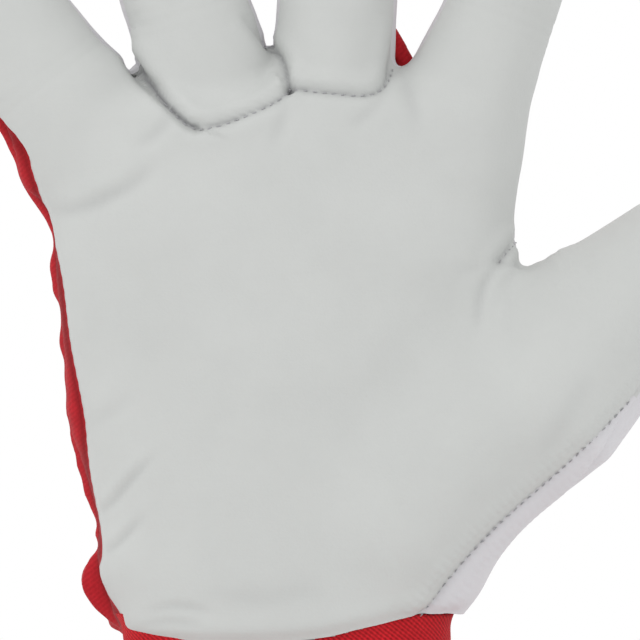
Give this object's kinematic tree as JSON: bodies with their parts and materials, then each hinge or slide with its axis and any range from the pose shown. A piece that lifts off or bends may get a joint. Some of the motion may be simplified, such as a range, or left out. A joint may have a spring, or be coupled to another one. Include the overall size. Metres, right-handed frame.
{
  "type": "gardening glove",
  "caption": "Right-hand gardening glove, filled as worn: leather palm, wing thumb and finger fronts, red cotton back and twill cuff, with bending fingers, thumb and wrist.",
  "frame": {"origin": "middle of the cuff mouth", "axes": "+Z from the cuff mouth towards the fingertips, -Y out of the palm, +X towards the thumb"},
  "size_m": [0.1928, 0.0636, 0.2669],
  "materials": {
    "palm_leather": "smooth grain leather, matt, light grey",
    "wing_leather": "smooth grain leather, matt, slightly lilac off-white",
    "red_drill": "close-woven red cotton, slightly fuzzy",
    "red_twill": "red cotton twill with diagonal ribs",
    "elastic_and_thread": "woven elastic tape and grey sewing thread"
  },
  "bodies": {
    "cuff": {"cuff_front": "red_twill", "cuff_back": "red_twill", "cuff_hem": "red_twill"},
    "hand": {"palm_leather": "palm_leather", "back_cloth": "red_drill", "ring_base_front": "palm_leather", "middle_base_front": "palm_leather", "thumb_wing": "wing_leather", "little_ring_gusset": "wing_leather", "ring_middle_gusset": "wing_leather", "middle_index_gusset": "wing_leather", "thumb_crotch_gusset": "wing_leather", "wrist_elastic": "elastic_and_thread"},
    "little_root": {"little_root_front": "palm_leather", "little_root_side": "wing_leather", "little_root_back": "red_drill"},
    "little_mid": {"little_mid_front": "palm_leather", "little_mid_side": "wing_leather", "little_mid_back": "red_drill"},
    "little_tip": {"little_tip_front": "palm_leather", "little_tip_side": "wing_leather", "little_tip_back": "red_drill"},
    "ring_root": {"ring_root_front": "palm_leather", "ring_root_side": "wing_leather", "ring_root_back": "red_drill"},
    "ring_mid": {"ring_mid_front": "palm_leather", "ring_mid_side": "wing_leather", "ring_mid_back": "red_drill"},
    "ring_tip": {"ring_tip_front": "palm_leather", "ring_tip_side": "wing_leather", "ring_tip_back": "red_drill"},
    "middle_root": {"middle_root_front": "palm_leather", "middle_root_side": "wing_leather", "middle_root_back": "red_drill"},
    "middle_mid": {"middle_mid_front": "palm_leather", "middle_mid_side": "wing_leather", "middle_mid_back": "red_drill"},
    "middle_tip": {"middle_tip_front": "palm_leather", "middle_tip_side": "wing_leather", "middle_tip_back": "red_drill"},
    "index_root": {"index_root_front": "palm_leather", "index_root_side": "wing_leather", "index_root_back": "red_drill"},
    "index_mid": {"index_mid_front": "palm_leather", "index_mid_side": "wing_leather", "index_mid_back": "red_drill"},
    "index_tip": {"index_tip_front": "palm_leather", "index_tip_side": "wing_leather", "index_tip_back": "red_drill"},
    "thumb_root": {"thumb_root_front": "palm_leather", "thumb_root_back": "wing_leather"},
    "thumb_tip": {"thumb_tip_front": "palm_leather", "thumb_tip_back": "wing_leather"}
  },
  "joints": [
    {"name": "wrist_bend", "type": "hinge", "parent": "cuff", "child": "hand", "pos_m": [0, 0, 0.06], "axis": [1, 0, 0], "range_deg": [-30, 30]},
    {"name": "little_knuckle", "type": "hinge", "parent": "hand", "child": "little_root", "pos_m": [-0.04841, 0, 0.17909], "axis": [0.7986, 0, 0.6018], "range_deg": [0, 60]},
    {"name": "little_middle_joint", "type": "hinge", "parent": "little_root", "child": "little_mid", "pos_m": [-0.06105, 0, 0.19586], "axis": [0.7986, 0, 0.6018], "range_deg": [0, 75]},
    {"name": "little_tip_joint", "type": "hinge", "parent": "little_mid", "child": "little_tip", "pos_m": [-0.07188, 0, 0.21023], "axis": [0.7986, 0, 0.6018], "range_deg": [0, 37.5]},
    {"name": "ring_knuckle", "type": "hinge", "parent": "hand", "child": "ring_root", "pos_m": [-0.02058, 0, 0.1924], "axis": [0.9563, 0, 0.2924], "range_deg": [0, 60]},
    {"name": "ring_middle_joint", "type": "hinge", "parent": "ring_root", "child": "ring_mid", "pos_m": [-0.02789, 0, 0.2163], "axis": [0.9563, 0, 0.2924], "range_deg": [0, 75]},
    {"name": "ring_tip_joint", "type": "hinge", "parent": "ring_mid", "child": "ring_tip", "pos_m": [-0.03417, 0, 0.23687], "axis": [0.9563, 0, 0.2924], "range_deg": [0, 37.5]},
    {"name": "middle_knuckle", "type": "hinge", "parent": "hand", "child": "middle_root", "pos_m": [0.01051, 0, 0.19489], "axis": [0.9994, 0, -0.0349], "range_deg": [0, 60]},
    {"name": "middle_middle_joint", "type": "hinge", "parent": "middle_root", "child": "middle_mid", "pos_m": [0.01141, 0, 0.22088], "axis": [0.9994, 0, -0.0349], "range_deg": [0, 75]},
    {"name": "middle_tip_joint", "type": "hinge", "parent": "middle_mid", "child": "middle_tip", "pos_m": [0.01229, 0, 0.24586], "axis": [0.9994, 0, -0.0349], "range_deg": [0, 37.5]},
    {"name": "index_knuckle", "type": "hinge", "parent": "hand", "child": "index_root", "pos_m": [0.04341, 0, 0.19174], "axis": [0.9336, 0, -0.3584], "range_deg": [0, 60]},
    {"name": "index_middle_joint", "type": "hinge", "parent": "index_root", "child": "index_mid", "pos_m": [0.05219, 0, 0.21461], "axis": [0.9336, 0, -0.3584], "range_deg": [0, 75]},
    {"name": "index_tip_joint", "type": "hinge", "parent": "index_mid", "child": "index_tip", "pos_m": [0.05971, 0, 0.23421], "axis": [0.9336, 0, -0.3584], "range_deg": [0, 37.5]},
    {"name": "thumb_knuckle", "type": "hinge", "parent": "hand", "child": "thumb_root", "pos_m": [0.06936, -0.004, 0.12667], "axis": [0.5481, -0.5736, -0.6087], "range_deg": [0, 35]},
    {"name": "thumb_tip_joint", "type": "hinge", "parent": "thumb_root", "child": "thumb_tip", "pos_m": [0.08645, -0.004, 0.14206], "axis": [0.5481, -0.5736, -0.6087], "range_deg": [0, 60]}
  ],
  "couplings": [
    {"joint": "little_tip_joint", "follows": "little_middle_joint", "ratio": 0.5},
    {"joint": "ring_tip_joint", "follows": "ring_middle_joint", "ratio": 0.5},
    {"joint": "middle_tip_joint", "follows": "middle_middle_joint", "ratio": 0.5},
    {"joint": "index_tip_joint", "follows": "index_middle_joint", "ratio": 0.5}
  ]
}
